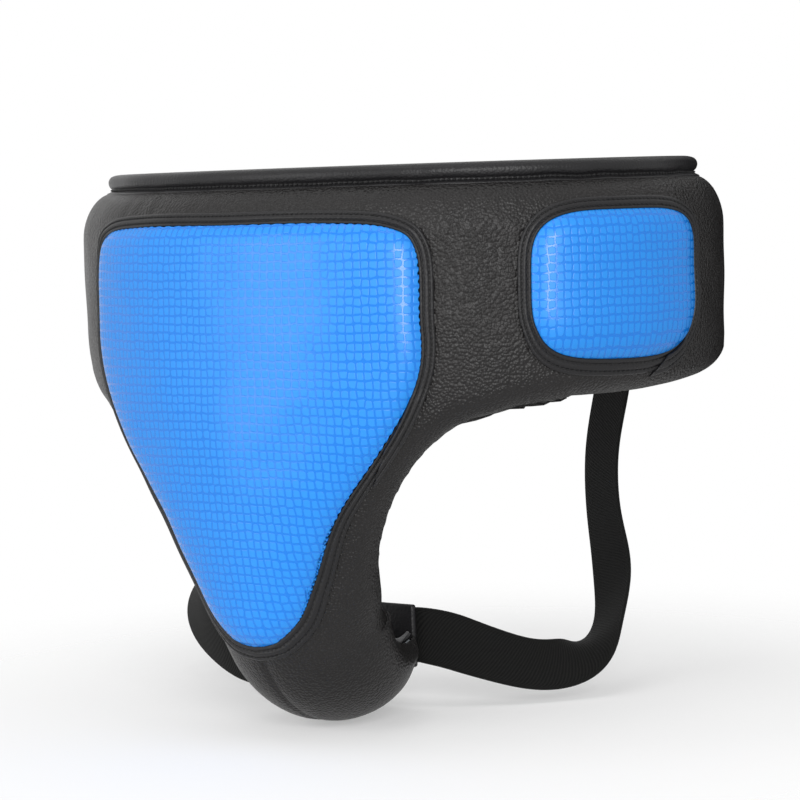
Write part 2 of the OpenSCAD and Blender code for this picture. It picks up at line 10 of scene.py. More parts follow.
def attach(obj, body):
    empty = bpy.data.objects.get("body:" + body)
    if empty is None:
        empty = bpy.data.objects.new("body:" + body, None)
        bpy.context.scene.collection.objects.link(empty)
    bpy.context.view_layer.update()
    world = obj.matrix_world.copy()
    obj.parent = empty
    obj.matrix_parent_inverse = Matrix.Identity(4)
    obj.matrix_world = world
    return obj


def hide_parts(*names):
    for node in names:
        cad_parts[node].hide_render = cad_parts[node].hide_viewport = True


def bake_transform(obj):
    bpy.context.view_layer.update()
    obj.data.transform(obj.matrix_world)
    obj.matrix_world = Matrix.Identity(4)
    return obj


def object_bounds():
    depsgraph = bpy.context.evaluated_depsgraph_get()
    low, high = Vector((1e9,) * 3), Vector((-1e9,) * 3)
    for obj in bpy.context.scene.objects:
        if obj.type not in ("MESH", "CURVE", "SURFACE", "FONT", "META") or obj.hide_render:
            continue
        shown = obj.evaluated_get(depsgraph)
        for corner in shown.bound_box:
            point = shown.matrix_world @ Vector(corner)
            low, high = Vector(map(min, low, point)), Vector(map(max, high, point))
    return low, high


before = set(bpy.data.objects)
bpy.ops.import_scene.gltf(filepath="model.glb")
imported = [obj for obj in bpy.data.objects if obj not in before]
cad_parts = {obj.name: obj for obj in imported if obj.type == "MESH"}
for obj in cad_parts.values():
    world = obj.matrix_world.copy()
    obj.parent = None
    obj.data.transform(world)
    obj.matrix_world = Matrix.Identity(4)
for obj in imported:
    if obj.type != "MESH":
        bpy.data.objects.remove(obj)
cad_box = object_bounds()

# A padded groin protector: belt, front panel, three raised pads, two leg elastics and a
# hook-and-loop closure. Sizes are millimetres until a mesh is made, then metres.
MM = 0.001

# ---- sizes of the sewn layers, as in the part's source ----
HALF_WIDTH = 160.0
HALF_DEPTH = 124.0
BELT = 112.0
WING = 163.0
JOIN = 68.0
CROTCH_HALF = 31.0
CROTCH_WRAP = 36.0
PANEL = 335.0
PADDING = 22.0
END_THINNING = 8.0
ROLL = 16.0
RIM = 8.0
RIM_SKIN = 5.0
RIM_SWELL = 24.0
EDGE = 2.4
LINING = 1.2
LEG_EDGE = [
    (BELT, JOIN), (BELT + 4, 58), (BELT + 12, 48), (BELT + 27, 44), (BELT + 46, 44.5),
    (BELT + 64, 49), (BELT + 82, 58), (BELT + 104, 76), (BELT + 126, 87), (BELT + 148, 86),
    (BELT + 170, 79), (BELT + 196, 65), (PANEL, 45),
]


# ---- curves ----


def ease(x, a, b):
    u = np.clip((x - a) / (b - a), 0.0, 1.0)
    return u * u * (3 - 2 * u)


def mix(a, b, f):
    return a + (b - a) * f


def unit(v):
    return v / np.linalg.norm(v, axis=-1, keepdims=True)


def through(points, k):
    """Smooth curve through given points, at positions k counted in points."""
    p = np.asarray(points, float)
    last = len(p) - 1
    k = np.asarray(k, float)
    i = np.clip(np.floor(k).astype(int), 0, last - 1)
    f = k - i
    if p.ndim > 1:
        f = f[..., None]
    a, b = p[np.maximum(0, i - 1)], p[i]
    c, d = p[i + 1], p[np.minimum(last, i + 2)]
    return b + f / 2 * (c - a + f * (2 * a - 5 * b + 4 * c - d + f * (3 * b - a - 3 * c + d)))


# ---- the body-side surface ----
# t is the angle around the waist from the front centre, positive to the wearer's left,
# h the length down the centre line, and d the height outwards from the lining.


def lean(h):
    return -2 * (1 - ease(h, 40, 120)) + 10 * ease(h, 110, 215) + 112 * ease(h, 205, 345)


def tilt(h):
    return np.radians(lean(h) + 1.5 * (1 - ease(h, 40, 120)))


def centre_line():
    step = 2.5
    first = float(lean(np.float64(0.0)))
    above = (-10.0, -HALF_DEPTH - 10 * math.sin(math.radians(first)),
             10 * math.cos(math.radians(first)))
    rows = [above, (0.0, -HALF_DEPTH, 0.0)]
    while rows[-1][0] < PANEL + 20:
        h, y, z = rows[-1]
        a = math.radians(float(lean(np.float64(h + step / 2))))
        rows.append((h + step, y + math.sin(a) * step, z - math.cos(a) * step))
    return np.array(rows)


SPINE = centre_line()


def narrows(t, h):
    return np.where(h > BELT + 1, 1.0, 1 - ease(np.abs(t), JOIN, JOIN + 45))


def hoop_width(t, h):
    return mix(HALF_WIDTH, CROTCH_HALF, narrows(t, h) * ease(h, 80, 245))


def hoop_depth(t, h):
    return mix(HALF_DEPTH, CROTCH_WRAP, narrows(t, h) * ease(h, 80, 230))


def skin(t, h):
    a = np.radians(t)
    wrap = hoop_depth(t, h) * (1 - np.cos(a))
    x = hoop_width(t, h) * np.sin(a)
    y = np.interp(h, SPINE[:, 0], SPINE[:, 1]) + wrap * np.cos(tilt(h))
    z = np.interp(h, SPINE[:, 0], SPINE[:, 2]) + wrap * np.sin(tilt(h))
    return np.stack([x, y, z], -1)


def outward(t, h):
    down = skin(t, h + 0.5) - skin(t, h - 0.5)
    across = skin(t + 0.1, h) - skin(t - 0.1, h)
    return unit(np.cross(down, across))


def at(t, h, d):
    t, h, d = np.broadcast_arrays(*(np.asarray(v, float) for v in (t, h, d)))
    return skin(t, h) + d[..., None] * outward(t, h)


HALF_ROWS = np.linspace(BELT, PANEL, 700)
HALF_ANGLES = through(
    [p[1] for p in LEG_EDGE], np.interp(HALF_ROWS, [p[0] for p in LEG_EDGE], range(len(LEG_EDGE)))
)


def panel_half(h):
    return np.interp(h, HALF_ROWS, HALF_ANGLES)


def tree_of(points):
    tree = kdtree.KDTree(len(points))
    for i, p in enumerate(points):
        tree.insert(p, i)
    tree.balance()
    return tree


def edge_tree():
    """Points along every open edge of the belt and panel, for the distance to the edge."""
    runs = []
    for side in (-1, 1):
        down = np.arange(0, BELT, 1.5)
        runs.append(skin(np.full_like(down, side * WING), down))
        round_belt = np.arange(JOIN, WING, 0.5)
        runs.append(skin(side * round_belt, np.full_like(round_belt, BELT)))
        leg = np.arange(BELT, PANEL, 0.7)
        runs.append(skin(side * panel_half(leg), leg))
    return tree_of(np.concatenate(runs))


EDGES = edge_tree()


def distance(tree, points):
    flat = points.reshape(-1, 3)
    found = [tree.find(p)[2] for p in flat]
    return np.array(found).reshape(points.shape[:-1])


def rounded(e, r):
    return np.sqrt(1 - (1 - np.clip(e / r, 0, 1)) ** 2)


def waves(t, h):
    """Slow unevenness of the stuffed layers, the same for every layer that lies on them."""
    points = skin(t, h).reshape(-1, 3)
    found = [noise.noise(Vector(p) * 0.021) + 0.5 * noise.noise(Vector(p) * 0.05) for p in points]
    return np.array(found).reshape(np.shape(t)) * 0.9


def whole(t, h):
    """Thickness of the padding: full in the middle, rolled at each edge, thin at the rim."""
    e = distance(EDGES, skin(t, h))
    full = PADDING - END_THINNING * ease(h, 285, PANEL) + waves(t, h)
    rim = RIM_SKIN + (full - RIM_SKIN) * rounded(h - RIM, RIM_SWELL)
    rolled = rounded(e, ROLL) * rounded(PANEL - h, 5.0)
    return np.minimum(EDGE + (full - EDGE) * rolled, rim)


# ---- meshes ----


def made(name, bm, materials, smooth=True):
    mesh = bpy.data.meshes.new(name)
    bm.normal_update()
    bm.to_mesh(mesh)
    bm.free()
    for m in materials:
        mesh.materials.append(m)
    mesh.polygons.foreach_set("use_smooth", [smooth] * len(mesh.polygons))
    obj = bpy.data.objects.new(name, mesh)
    bpy.context.scene.collection.objects.link(obj)
    return obj


def bent_grid(cols, rows, place, cloth, drop=None):
    """A grid of cells, with place(a, b) the point in millimetres and cloth(a, b) the length
    and width of cloth there, in metres, as a UV map. a and b run from 0 to 1, and drop(a, b)
    says which cells are left out."""
    bm = bmesh.new()
    bmesh.ops.create_grid(bm, x_segments=cols, y_segments=rows, size=0.5)
    uv = bm.loops.layers.uv.new("cloth")
    flat = np.array([v.co[:2] for v in bm.verts]) + 0.5
    a, b = np.clip(flat[:, 0], 0, 1), np.clip(flat[:, 1], 0, 1)
    if drop is not None:
        middles = np.array([f.calc_center_median()[:2] for f in bm.faces]) + 0.5
        out = drop(middles[:, 0], middles[:, 1])
        unused = [f for f, gone in zip(bm.faces, out) if gone]
    spots = place(a, b) * MM
    lengths = np.stack(cloth(a, b), -1)
    bm.verts.index_update()
    for v, p in zip(bm.verts, spots):
        v.co = p
    for f in bm.faces:
        for corner in f.loops:
            corner[uv].uv = lengths[corner.vert.index]
    if drop is not None:
        bmesh.ops.delete(bm, geom=unused, context="FACES")
    return bm


def close_up(bm, weld=0.00005):
    """Welds the seam of a tube, fills its open ends and turns its faces outwards."""
    bmesh.ops.remove_doubles(bm, verts=bm.verts, dist=weld)
    bmesh.ops.holes_fill(bm, edges=[e for e in bm.edges if e.is_boundary], sides=0)
    bmesh.ops.recalc_face_normals(bm, faces=bm.faces)


def thicken(obj, thickness, offset=-1.0):
    wall = obj.modifiers.new("wall", "SOLIDIFY")
    wall.thickness = thickness
    wall.offset = offset
    wall.use_even_offset = False
    return obj


def settle(obj, body, nodes=()):
    """The piece rides on its body and stands for its nodes."""
    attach(obj, body)
    if nodes:
        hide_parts(*nodes)
    return obj


def spread(knots):
    """Turns a share from 0 to 1 into a place between knots that are evenly counted."""
    return lambda a: np.interp(a, np.linspace(0, 1, len(knots)), knots)


# ---- materials ----


def tone(text):
    """An sRGB hex colour as linear RGBA."""
    parts = [int(text[i:i + 2], 16) / 255 for i in (1, 3, 5)]
    return [c / 12.92 if c <= 0.04045 else ((c + 0.055) / 1.055) ** 2.4 for c in parts] + [1.0]


def add(tree, kind, inputs=None, **settings):
    """Adds a node with its settings, and its inputs as values or as sockets to link from."""
    made_node = tree.nodes.new(kind)
    for key, value in settings.items():
        setattr(made_node, key, value)
    for key, value in (inputs or {}).items():
        if isinstance(value, bpy.types.NodeSocket):
            tree.links.new(value, made_node.inputs[key])
        else:
            made_node.inputs[key].default_value = value
    return made_node


def new_finish(name, **shader):
    """A material with one Principled shader; shader holds values that are the same all over."""
    material = bpy.data.materials.new(name)
    material.use_nodes = True
    tree = material.node_tree
    tree.nodes.clear()
    values = {key.replace("_", " "): value for key, value in shader.items()}
    surface = add(tree, "ShaderNodeBsdfPrincipled", values)
    add(tree, "ShaderNodeOutputMaterial", {"Surface": surface.outputs[0]})
    return material, tree, surface


def two_tones(tree, factor, low, high):
    blend = add(
        tree, "ShaderNodeMix", {"Factor": factor, 6: tone(low), 7: tone(high)}, data_type="RGBA"
    )
    return blend.outputs[2]


def leather(name, low, high, rough, grain, depth):
    """PU leather: a pebble grain pressed into a soft plastic skin, darker in its valleys."""
    material, tree, surface = new_finish(name, IOR=1.45, Specular_IOR_Level=0.34)
    where = add(tree, "ShaderNodeTexCoord").outputs["Object"]
    pebble = add(
        tree, "ShaderNodeTexVoronoi", {"Vector": where, "Scale": 1000 / grain, "Randomness": 0.9},
        feature="SMOOTH_F1",
    )
    pebble.inputs["Smoothness"].default_value = 0.4
    fine = add(tree, "ShaderNodeTexNoise", {"Vector": where, "Scale": 1000 / 0.7, "Detail": 2.0})
    broad = add(tree, "ShaderNodeTexNoise", {"Vector": where, "Scale": 45.0, "Detail": 3.0})
    creases = add(
        tree, "ShaderNodeTexNoise",
        {"Vector": where, "Scale": 170.0, "Detail": 4.0, "Roughness": 0.55},
    )
    first = add(
        tree, "ShaderNodeBump",
        {"Height": creases.outputs["Fac"], "Strength": 0.12, "Distance": 0.0006},
    )
    second = add(
        tree, "ShaderNodeBump",
        {
            "Height": pebble.outputs["Distance"], "Strength": depth, "Distance": 0.0011,
            "Normal": first.outputs[0],
        },
        invert=True,
    )
    third = add(
        tree, "ShaderNodeBump",
        {
            "Height": fine.outputs["Fac"], "Strength": depth * 0.5, "Distance": 0.0004,
            "Normal": second.outputs[0],
        },
    )
    tree.links.new(third.outputs[0], surface.inputs["Normal"])
    tree.links.new(two_tones(tree, broad.outputs["Fac"], low, high), surface.inputs["Base Color"])
    worn = add(
        tree, "ShaderNodeMapRange",
        {"Value": broad.outputs["Fac"], "To Min": rough - 0.06, "To Max": rough + 0.08},
    )
    tree.links.new(worn.outputs[0], surface.inputs["Roughness"])
    return material


def blue_leather():
    """PU leather with pressed cells: pale satin cells, and a deeper glossy net between them."""
    material, tree, surface = new_finish("pu_leather_blue_pressed_cells", IOR=1.5)
    cloth = add(tree, "ShaderNodeUVMap", uv_map="cloth").outputs[0]
    scaled = add(
        tree, "ShaderNodeMapping", {"Vector": cloth, "Scale": (1 / 0.0042, 1 / 0.0043, 1.0)}
    ).outputs[0]
    edge = add(
        tree, "ShaderNodeTexVoronoi", {"Vector": scaled, "Scale": 1.0, "Randomness": 0.24},
        voronoi_dimensions="2D", feature="DISTANCE_TO_EDGE",
    ).outputs["Distance"]
    middle = add(
        tree, "ShaderNodeTexVoronoi", {"Vector": scaled, "Scale": 1.0, "Randomness": 0.24},
        voronoi_dimensions="2D", feature="F1",
    ).outputs["Distance"]
    # A cell's side is where the net is about a millimetre wide; its corners are rounded off
    side = add(
        tree, "ShaderNodeMapRange", {"Value": edge, "From Min": 0.085, "From Max": 0.16},
        interpolation_type="SMOOTHSTEP",
    ).outputs[0]
    corner = add(
        tree, "ShaderNodeMapRange", {"Value": middle, "From Min": 0.53, "From Max": 0.45},
        interpolation_type="SMOOTHSTEP",
    ).outputs[0]
    cell = add(tree, "ShaderNodeMath", {0: side, 1: corner}, operation="MULTIPLY").outputs[0]
    tree.links.new(two_tones(tree, cell, "#067ade", "#1f8de9"), surface.inputs["Base Color"])
    gloss = add(
        tree, "ShaderNodeMapRange", {"Value": cell, "To Min": 0.24, "To Max": 0.5}
    ).outputs[0]
    tree.links.new(gloss, surface.inputs["Roughness"])
    grain = add(tree, "ShaderNodeTexNoise", {"Vector": cloth, "Scale": 900.0, "Detail": 2.0})
    first = add(
        tree, "ShaderNodeBump",
        {"Height": grain.outputs["Fac"], "Strength": 0.12, "Distance": 0.0002},
    )
    second = add(
        tree, "ShaderNodeBump",
        {"Height": cell, "Strength": 0.35, "Distance": 0.0003, "Normal": first.outputs[0]},
    )
    tree.links.new(second.outputs[0], surface.inputs["Normal"])
    return material


def elastic(name, low, high, angle):
    """Woven elastic webbing: raised diagonal ribs of yarn, matt, with a flat selvedge, and painted shade: the rib
    valleys are coloured darker than the crests.
    """
    material, tree, surface = new_finish(name, Sheen_Weight=0.04, Sheen_Roughness=0.5, Specular_IOR_Level=0.16)
    cloth = add(tree, "ShaderNodeUVMap", uv_map="cloth").outputs[0]
    turned = add(
        tree, "ShaderNodeMapping", {"Vector": cloth, "Rotation": (0.0, 0.0, math.radians(angle))}
    ).outputs[0]
    # Ribs 1.1 mm apart, which is as fine as shows
    ribs = add(
        tree, "ShaderNodeTexWave", {"Vector": turned, "Scale": 1000 / 1.1 / 20 * math.pi * 2,
                                    "Distortion": 0.4, "Detail": 1.0, "Detail Scale": 2.0},
        wave_profile="SIN",
    ).outputs["Fac"]
    yarn = add(
        tree, "ShaderNodeTexNoise", {"Vector": cloth, "Scale": 1400.0, "Detail": 2.0}
    ).outputs["Fac"]
    # The rib colour follows the rib height: painted shade in the valleys, lighter crests.
    tree.links.new(two_tones(tree, ribs, low, high), surface.inputs["Base Color"])
    surface.inputs["Roughness"].default_value = 0.82
    first = add(tree, "ShaderNodeBump", {"Height": ribs, "Strength": 0.6, "Distance": 0.0004})
    second = add(
        tree, "ShaderNodeBump",
        {"Height": yarn, "Strength": 0.3, "Distance": 0.0003, "Normal": first.outputs[0]},
    )
    tree.links.new(second.outputs[0], surface.inputs["Normal"])
    return material


def knit(name, low, high, pitch, depth, rough, sheen):
    """A matt textile or open-celled face whose grain is pitch millimetres across."""
    material, tree, surface = new_finish(
        name, Roughness=rough, Sheen_Weight=sheen, Sheen_Roughness=0.6
    )
    where = add(tree, "ShaderNodeTexCoord").outputs["Object"]
    loops = add(
        tree, "ShaderNodeTexVoronoi",
        {"Vector": where, "Scale": 1000 / pitch, "Randomness": 0.7},
    ).outputs["Distance"]
    broad = add(
        tree, "ShaderNodeTexNoise", {"Vector": where, "Scale": 60.0, "Detail": 3.0}
    ).outputs["Fac"]
    tree.links.new(two_tones(tree, broad, low, high), surface.inputs["Base Color"])
    relief = add(
        tree, "ShaderNodeBump", {"Height": loops, "Strength": depth, "Distance": 0.0006},
        invert=True,
    )
    tree.links.new(relief.outputs[0], surface.inputs["Normal"])
    return material


# Black PU leather of the belt and panel: fine pebble, semi-gloss
BLACK = leather("pu_leather_black_pebbled", "#121111", "#1b1919", 0.38, 1.5, 0.62)
# Black PU tape: the same skin, thinner and smoother, so its edges catch more light
TAPE = leather("pu_leather_tape_black", "#141415", "#1c1b1d", 0.4, 1.2, 0.18)
BLUE = blue_leather()
# Each webbing's darker tone is painted shade in its rib valleys, its lighter tone the rib crests.
WEBBING = elastic("woven_elastic_black", "#050505", "#151514", 52)
BACK_WEBBING = elastic("woven_elastic_black_back", "#08080a", "#19191a", 90)
TRICOT = knit("brushed_tricot_lining", "#262629", "#303034", 0.9, 0.5, 0.9, 0.25)
FOAM = knit("closed_cell_foam_grey", "#83888c", "#989da1", 1.6, 0.4, 0.85, 0.0)
CUP = knit("moulded_polypropylene_ivory", "#d2cec2", "#ddd9cd", 0.6, 0.08, 0.42, 0.0)
# Black thread, coloured darker than the tape as painted shade of the stitch holes.
THREAD = knit("bonded_polyester_thread_black_with_painted_shade", "#040405", "#0a0a0b", 0.4, 0.6, 0.75, 0.0)
HOOKS = knit("hook_tape_nylon_black", "#141416", "#202023", 1.3, 1.0, 0.6, 0.1)
LOOPS = knit("loop_tape_napped_nylon_black", "#19191b", "#28282b", 1.0, 0.9, 0.95, 0.5)


# ---- camera, light and floor ----


def camera():
    data = bpy.data.cameras.new("view")
    data.lens = 125.5
    data.sensor_width = 36.0
    data.shift_x = -0.0025
    data.shift_y = 0.0578
    data.clip_end = 30
    obj = bpy.data.objects.new("view", data)
    obj.location = (0.8922, -1.2058, 0.002)
    aim = Vector((0, -0.004, -0.150)) - obj.location
    turn = aim.to_track_quat("-Z", "Y").to_matrix().to_4x4()
    roll = Matrix.Rotation(math.radians(-2.2), 4, "Z")
    obj.rotation_euler = (turn @ roll).to_euler()
    bpy.context.scene.collection.objects.link(obj)
    bpy.context.scene.camera = obj


def softbox(name, azimuth, height, reach, size, watts):
    """A rectangular lamp at an angle round the object from its front, facing it."""
    data = bpy.data.lights.new(name, "AREA")
    data.shape = "RECTANGLE"
    data.size, data.size_y = size
    data.energy = watts
    obj = bpy.data.objects.new(name, data)
    a = math.radians(azimuth)
    obj.location = (reach * math.sin(a), -reach * math.cos(a), height)
    aim = Vector((0, 0, -0.13)) - obj.location
    obj.rotation_euler = aim.to_track_quat("-Z", "Y").to_euler()
    bpy.context.scene.collection.objects.link(obj)


def surroundings():
    """White room: full white to the eye and in gloss, softer where it lights the object."""
    world = bpy.data.worlds.new("white_room")
    bpy.context.scene.world = world
    world.use_nodes = True
    tree = world.node_tree
    tree.nodes.clear()
    path = add(tree, "ShaderNodeLightPath")
    seen = add(
        tree, "ShaderNodeMath",
        {0: path.outputs["Is Camera Ray"], 1: path.outputs["Is Transmission Ray"]},
        operation="MAXIMUM",
    )
    glossy = add(
        tree, "ShaderNodeMath", {0: seen.outputs[0], 1: path.outputs["Is Glossy Ray"]},
        operation="MAXIMUM",
    )
    room = add(tree, "ShaderNodeBackground", {"Color": (1, 1, 1, 1), "Strength": 0.36})
    white = add(tree, "ShaderNodeBackground", {"Color": (1, 1, 1, 1), "Strength": 1.0})
    either = add(
        tree, "ShaderNodeMixShader", {0: glossy.outputs[0], 1: room.outputs[0], 2: white.outputs[0]}
    )
    add(tree, "ShaderNodeOutputWorld", {"Surface": either.outputs[0]})


def flag():
    """A black studio card behind the object, seen only in gloss: it keeps the far edges dark."""
    bm = bmesh.new()
    place = Matrix.Translation((0.04, 1.25, -0.1)) @ Matrix.Rotation(math.radians(90), 4, "X")
    bmesh.ops.create_grid(bm, x_segments=1, y_segments=1, size=0.75, matrix=place)
    material, _, surface = new_finish("black_felt_card", Roughness=1.0)
    surface.inputs["Base Color"].default_value = (0, 0, 0, 1)
    surface.inputs["Specular IOR Level"].default_value = 0.0
    card = made("black_card", bm, [material], smooth=False)
    card.visible_camera = False
    card.visible_diffuse = False
    card.visible_shadow = False
    card.visible_transmission = False


def floor():
    bm = bmesh.new()
    bmesh.ops.create_grid(bm, x_segments=2, y_segments=2, size=6.0)
    bmesh.ops.translate(bm, verts=bm.verts, vec=(0, 0, cad_box[0][2] - 0.002))
    material, tree, surface = new_finish("matt_white_floor", Roughness=0.9)
    surface.inputs["Base Color"].default_value = tone("#fafafa")
    surface.inputs["Specular IOR Level"].default_value = 0.0
    surface.inputs["Emission Color"].default_value = (1, 1, 1, 1)
    surface.inputs["Emission Strength"].default_value = 0.22
    # The floor fades into the white room away from the object, so that no horizon shows
    where = add(tree, "ShaderNodeTexCoord").outputs["Object"]
    reach = add(tree, "ShaderNodeVectorMath", {0: where}, operation="LENGTH").outputs["Value"]
    far = add(
        tree, "ShaderNodeMapRange", {"Value": reach, "From Min": 0.22, "From Max": 0.52},
        interpolation_type="SMOOTHSTEP",
    ).outputs[0]
    clear = add(tree, "ShaderNodeBsdfTransparent")
    fading = add(
        tree, "ShaderNodeMixShader", {0: far, 1: surface.outputs[0], 2: clear.outputs[0]}
    )
    out = next(n for n in tree.nodes if n.type == "OUTPUT_MATERIAL")
    tree.links.new(fading.outputs[0], out.inputs["Surface"])
    made("floor", bm, [material], smooth=False)


# ---- belt and panel ----

# Where the cover is gathered under the top binding: angle, depth and width of each crease
CREASES = [
    (-17.0, 1.9, 2.6), (-21.5, 1.0, 2.4), (-26.0, 0.9, 3.0), (-6.5, 0.7, 2.4), (-3.0, 0.5, 2.0),
    (9.0, 0.35, 2.5), (24.0, 0.3, 2.5), (33.0, 0.5, 3.0), (-48.0, 0.9, 3.0), (-71.0, 0.7, 3.0),
    (58.0, 0.5, 3.0), (83.0, 0.8, 3.0), (97.0, 0.9, 3.0), (-96.0, 0.8, 3.0), (118.0, 0.7, 3.0),
    (-121.0, 0.9, 3.0), (141.0, 0.8, 3.0), (-143.0, 0.7, 3.0),
]


def gathers(t, h):
    """Creases that start under the binding and fade down the cover."""
    fade = ease(h, 8, 11) * np.exp(-np.maximum(0, h - 9) / 11.0)
    total = np.zeros(np.shape(t))
    for angle, depth, width in CREASES:
        run = (t - angle + 0.035 * (h - 8)) * 2.7
        total -= depth * (np.exp(-((run / width) ** 2)) - 0.45 * np.exp(-((run / width / 2.4) ** 2)))
    return total * fade


def cover_top(t, h):
    return whole(t, h) + gathers(t, h)


def seam_dip(t, h):
    """The two halves of the panel meet in a sewn seam from the pad's tip down and under."""
    across = np.radians(t) * hoop_width(t, h)
    below = ease(h, 226, 232)
    return below * (1.1 * np.exp(-((across / 0.9) ** 2)) + 0.5 * np.exp(-((across / 3.2) ** 2)))


WING_COLS, PANEL_COLS = 80, 132
BELT_ROWS, PANEL_ROWS = 58, 96
HOLD = np.concatenate([
    np.linspace(0, 8, 5), np.linspace(8.6, 20, 14), np.linspace(21.5, 92, 26),
    BELT - ROLL * 1.05 * (1 - np.sin(np.linspace(0.15, 1, 13) * math.pi / 2)),
])


def edge_heavy(n):
    """Shares from -1 to 1, closer together towards both ends."""
    s = np.linspace(-1, 1, n + 1)
    return np.sign(s) * (0.75 * np.abs(np.sin(s * 1.35) / math.sin(1.35)) + 0.25 * s ** 2)


def cover_places(a, b, shares, rows):
    """Angle and length down of each point of the cover's grid."""
    cols = 2 * WING_COLS + PANEL_COLS
    j = np.rint(a * cols).astype(int)
    i = np.rint(b * (len(rows) - 1)).astype(int)
    h = rows[i]
    half = np.where(h > BELT, panel_half(h), JOIN)
    inner = np.clip(j - WING_COLS, 0, PANEL_COLS)
    t = shares[inner] * half
    left = np.clip(WING_COLS - j, 0, WING_COLS) / WING_COLS
    right = np.clip(j - WING_COLS - PANEL_COLS, 0, WING_COLS) / WING_COLS
    wing = np.sin(np.maximum(left, right) * 1.4) / math.sin(1.4)
    t = np.where(left > 0, -mix(JOIN, WING, wing), np.where(right > 0, mix(JOIN, WING, wing), t))
    on_wing = (left > 0) | (right > 0)
    return t, np.where(on_wing, np.minimum(h, BELT), h), on_wing


def cover_rows():
    corner = BELT + np.array([0.3, 0.8, 1.4, 2.0, 2.8, 3.8, 5.0, 6.4, 8.0, 10.0])
    to_end = np.linspace(BELT + 10, PANEL - 5, 92)[1:-1]
    last = PANEL - 5 * (1 - np.sin(np.linspace(0, 1, 8) * math.pi / 2))
    return np.concatenate([HOLD, corner, to_end, last])


def left_out(a, b, rows):
    """The cells below the wings."""
    j = np.floor(a * (2 * WING_COLS + PANEL_COLS)).astype(int)
    i = np.floor(b * (len(rows) - 1)).astype(int)
    h = (rows[i] + rows[i + 1]) / 2
    return ((j < WING_COLS) | (j >= WING_COLS + PANEL_COLS)) & (h > BELT)


def belt_cover():
    rows = cover_rows()
    shares = edge_heavy(PANEL_COLS)
    cols = 2 * WING_COLS + PANEL_COLS

    def place(a, b):
        t, h, _ = cover_places(a, b, shares, rows)
        return at(t, h, cover_top(t, h) - seam_dip(t, h))

    def cloth(a, b):
        t, h, _ = cover_places(a, b, shares, rows)
        return t * 2.7 * MM, -h * MM

    bm = bent_grid(cols, len(rows) - 1, place, cloth, lambda a, b: left_out(a, b, rows))
    bmesh.ops.recalc_face_normals(bm, faces=bm.faces)
    obj = made("belt_and_panel_cover", bm, [BLACK])
    thicken(obj, 0.0012)
    return settle(obj, "padded_belt", ["outer_cover", "crotch_gusset"])


def lining():
    rows = cover_rows()
    rows = np.concatenate([[0.8], rows[(rows > 4) & (rows < BELT)][::2], [BELT]])
    rows = np.concatenate([rows, cover_rows()[cover_rows() > BELT][::2], [PANEL - 0.5]])
    shares = edge_heavy(PANEL_COLS)
    cols = 2 * WING_COLS + PANEL_COLS

    def spot(a, b):
        t, h, _ = cover_places(a, b, shares, rows)
        return t * 0.997, h

    def place(a, b):
        t, h = spot(a, b)
        return at(t, h, 0.25 * waves(t, h))

    def cloth(a, b):
        t, h = spot(a, b)
        return t * 2.7 * MM, -h * MM

    def drop(a, b):
        return left_out(a, b, rows)

    bm = bent_grid(cols, len(rows) - 1, place, cloth, drop)
    obj = made("body_side_lining", bm, [TRICOT])
    thicken(obj, LINING * MM, 1.0)
    return settle(obj, "padded_belt", ["lining"])


# ---- tubes, tapes and stitches ----


def tube(name, cols, section_count, place, materials, length=1.0, girth=0.03):
    """A closed tube: place(a, b) with a along it and b once round its section."""
    bm = bent_grid(cols, section_count, place, lambda a, b: (a * length, b * girth))
    close_up(bm)
    return made(name, bm, materials)


def round_section(points, count_shares):
    """A closed section through given corners, at shares of the way round it."""
    loop = np.array(list(points) + [points[0]], float)
    return through(loop, count_shares * (len(loop) - 1))


def stitches(name, lines, pitch, length, radius, material=None, slant=8.0):
    """Stitches along lines of (points, normals), each one a thread that dips at both ends."""
    bm = bmesh.new()
    for points, normals in lines:
        gaps = np.linalg.norm(np.diff(points, axis=0), axis=1)
        along = np.concatenate([[0], np.cumsum(gaps)])
        for s in np.arange(pitch / 2, along[-1], pitch):
            here = np.array([np.interp(s, along, points[:, k]) for k in range(3)])
            ahead = np.array([np.interp(s + 0.6, along, points[:, k]) for k in range(3)])
            up = unit(np.array([np.interp(s, along, normals[:, k]) for k in range(3)]))
            run = unit(ahead - here) if np.linalg.norm(ahead - here) > 1e-6 else unit(points[-1] - points[-2])
            side = unit(np.cross(up, run))
            run = np.cross(side, up)
            axes = Matrix([
                [run[0], side[0], up[0], 0], [run[1], side[1], up[1], 0],
                [run[2], side[2], up[2], 0], [0, 0, 0, 1],
            ])
            place = Matrix.Translation(Vector(here * MM)) @ axes
            place = place @ Matrix.Rotation(math.radians(slant), 4, "Z")
            place = place @ Matrix.Diagonal((length / 2, radius, radius, 1.0 / MM)) * MM
            bmesh.ops.create_uvsphere(bm, u_segments=6, v_segments=4, radius=1.0, matrix=place)
    return made(name, bm, [material or THREAD])


def surface_line(t, h, d):
    """A line on the surface, with the way out at each point."""
    return at(t, h, d), outward(np.asarray(t, float), np.asarray(h, float))


# Section of the top binding as length down and height: roll, stitched valley and thin lip
BINDING = [
    (9.6, 5.6), (9.9, 8.3), (9.2, 9.3), (8.4, 9.0), (7.4, 6.9), (6.2, 6.6), (5.3, 7.5),
    (3.4, 8.3), (1.3, 8.1), (-0.5, 6.7), (-1.4, 4.0), (-1.6, 1.2), (-1.0, -1.2), (1.4, -2.2),
    (5.0, -2.4), (7.6, -2.3), (8.2, -1.3), (7.2, -0.75), (2.0, -0.7), (-0.6, 0.2), (-1.2, 2.5),
    (-0.6, 5.0), (2.0, 5.5),
]


def wobble(t, scale, seed):
    return np.array([noise.noise(Vector((v * scale, seed, 0.0))) for v in np.ravel(t)]).reshape(
        np.shape(t)
    )


